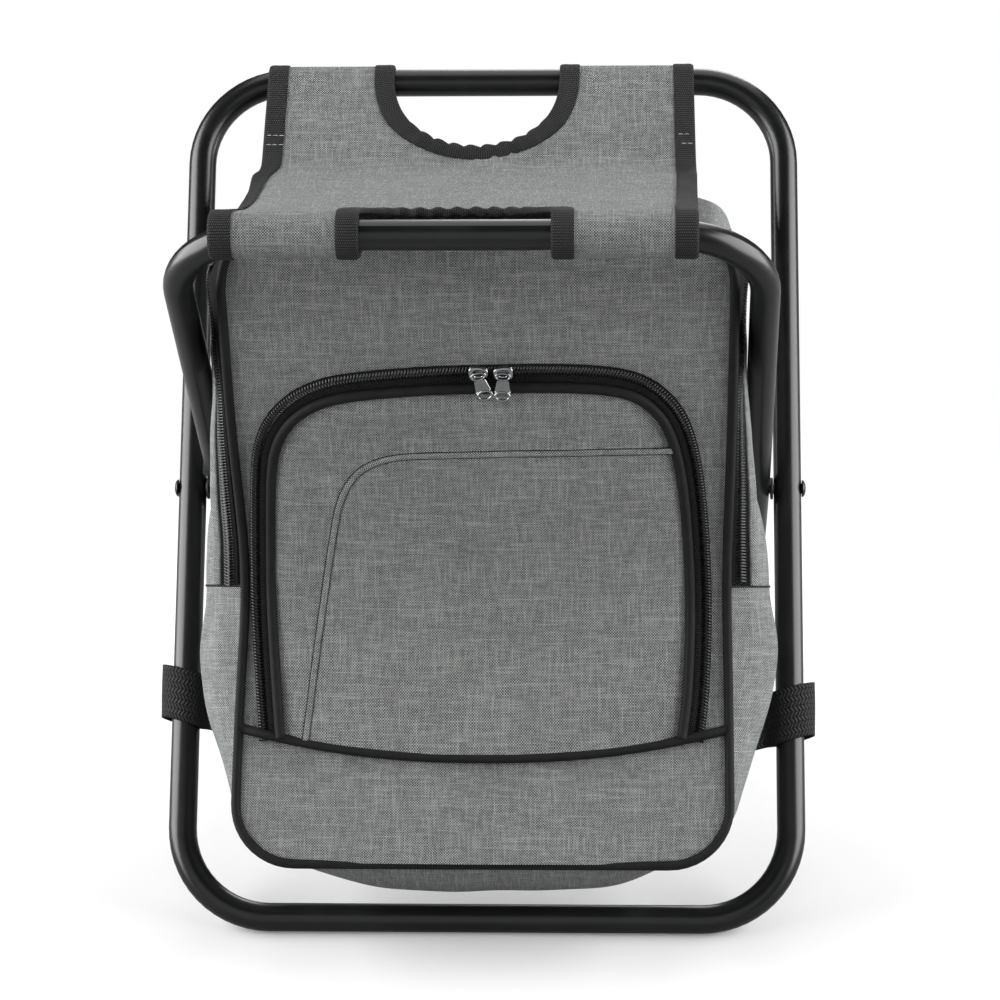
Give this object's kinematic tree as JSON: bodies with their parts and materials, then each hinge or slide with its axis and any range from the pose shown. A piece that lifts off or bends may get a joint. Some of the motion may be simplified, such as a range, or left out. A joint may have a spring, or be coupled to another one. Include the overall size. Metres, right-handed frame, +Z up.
{
  "type": "folding cooler stool",
  "caption": "Folding stool with two crossed black tube loops, a cloth sling seat and a zipped insulated cooler bag hung between the legs.",
  "frame": {"origin": "middle of the front foot bar's resting line on the floor", "axes": "+Z up, +X to the right and +Y to the back as seen from in front of the bag"},
  "size_m": [0.362, 0.3327, 0.4186],
  "materials": {
    "black_paint": "gloss",
    "bare_steel": "satin",
    "chrome": "polished",
    "nylon": "satin",
    "grey_cloth": "matt",
    "seat_cloth": "matt",
    "black_tape": "matt",
    "foil": "satin"
  },
  "bodies": {
    "outer_frame": {"outer_loop_tube": "black_paint", "outer_loop_joiner": "bare_steel", "pivot_rivet_right": "black_paint", "pivot_rivet_left": "black_paint", "pivot_spacer_right": "nylon", "pivot_spacer_left": "nylon", "pivot_washer_right": "bare_steel", "pivot_washer_left": "bare_steel", "seat_sleeve_rear_left": "grey_cloth", "seat_sleeve_rear_right": "grey_cloth", "seat_panel": "seat_cloth", "seat_binding_left": "black_tape", "seat_binding_right": "black_tape", "handhold_binding_rear": "black_tape", "handhold_binding_front": "black_tape", "bag_shell": "grey_cloth", "bag_liner": "foil", "main_zip_bag_tape": "black_tape", "pocket_panel_lower": "grey_cloth", "pocket_zip_lower_left": "black_tape", "pocket_zip_lower_right": "black_tape", "pocket_foot_piping": "black_tape", "front_piping_lower": "black_tape", "side_strap_left": "black_tape", "side_strap_right": "black_tape"},
    "inner_frame": {"inner_loop_tube": "black_paint", "inner_loop_joiner": "bare_steel", "seat_sleeve_front_left": "grey_cloth", "seat_sleeve_front_right": "grey_cloth"},
    "lid": {"lid_panel": "grey_cloth", "lid_liner": "foil", "main_zip_lid_tape": "black_tape", "front_piping_upper": "black_tape", "pocket_panel_upper": "grey_cloth", "pocket_zip_upper": "black_tape"},
    "pocket_slider_left_unit": {"pocket_slider_left": "chrome"},
    "pocket_pull_left_unit": {"pocket_pull_left": "chrome"},
    "pocket_slider_right_unit": {"pocket_slider_right": "chrome"},
    "pocket_pull_right_unit": {"pocket_pull_right": "chrome"},
    "main_slider_left_unit": {"main_slider_left": "chrome"},
    "main_pull_left_unit": {"main_pull_left": "chrome"},
    "main_slider_right_unit": {"main_slider_right": "chrome"},
    "main_pull_right_unit": {"main_pull_right": "chrome"}
  },
  "joints": [
    {"name": "frame_fold", "type": "hinge", "parent": "outer_frame", "child": "inner_frame", "pos_m": [0, 0.142, 0.20738], "axis": [-1, 0, 0], "range_deg": [0, 64], "deforming": ["seat_panel", "seat_binding_left", "seat_binding_right", "handhold_binding_rear", "handhold_binding_front"]},
    {"name": "lid_open", "type": "hinge", "parent": "outer_frame", "child": "lid", "pos_m": [0, 0.0345, 0.19], "axis": [1, 0, 0], "range_deg": [0, 100]},
    {"name": "pocket_slide_left", "type": "slide", "parent": "lid", "child": "pocket_slider_left_unit", "axis": [-1, 0, 0], "range_m": [0, 0.045]},
    {"name": "pocket_flip_left", "type": "hinge", "parent": "pocket_slider_left_unit", "child": "pocket_pull_left_unit", "pos_m": [0, 0.02882, 0.31921], "axis": [-1, 0, 0], "range_deg": [0, 150]},
    {"name": "pocket_slide_right", "type": "slide", "parent": "lid", "child": "pocket_slider_right_unit", "axis": [1, 0, 0], "range_m": [0, 0.037]},
    {"name": "pocket_flip_right", "type": "hinge", "parent": "pocket_slider_right_unit", "child": "pocket_pull_right_unit", "pos_m": [0.013, 0.02882, 0.31921], "axis": [-1, 0, 0], "range_deg": [0, 150]},
    {"name": "main_slide_left", "type": "slide", "parent": "lid", "child": "main_slider_left_unit", "axis": [-1, 0, 0], "range_m": [0, 0.08]},
    {"name": "main_flip_left", "type": "hinge", "parent": "main_slider_left_unit", "child": "main_pull_left_unit", "pos_m": [-0.008, 0.08371, 0.3864], "axis": [-1, 0, 0], "range_deg": [0, 20]},
    {"name": "main_slide_right", "type": "slide", "parent": "lid", "child": "main_slider_right_unit", "axis": [1, 0, 0], "range_m": [0, 0.08]},
    {"name": "main_flip_right", "type": "hinge", "parent": "main_slider_right_unit", "child": "main_pull_right_unit", "pos_m": [0.008, 0.08371, 0.3864], "axis": [-1, 0, 0], "range_deg": [0, 20]}
  ]
}
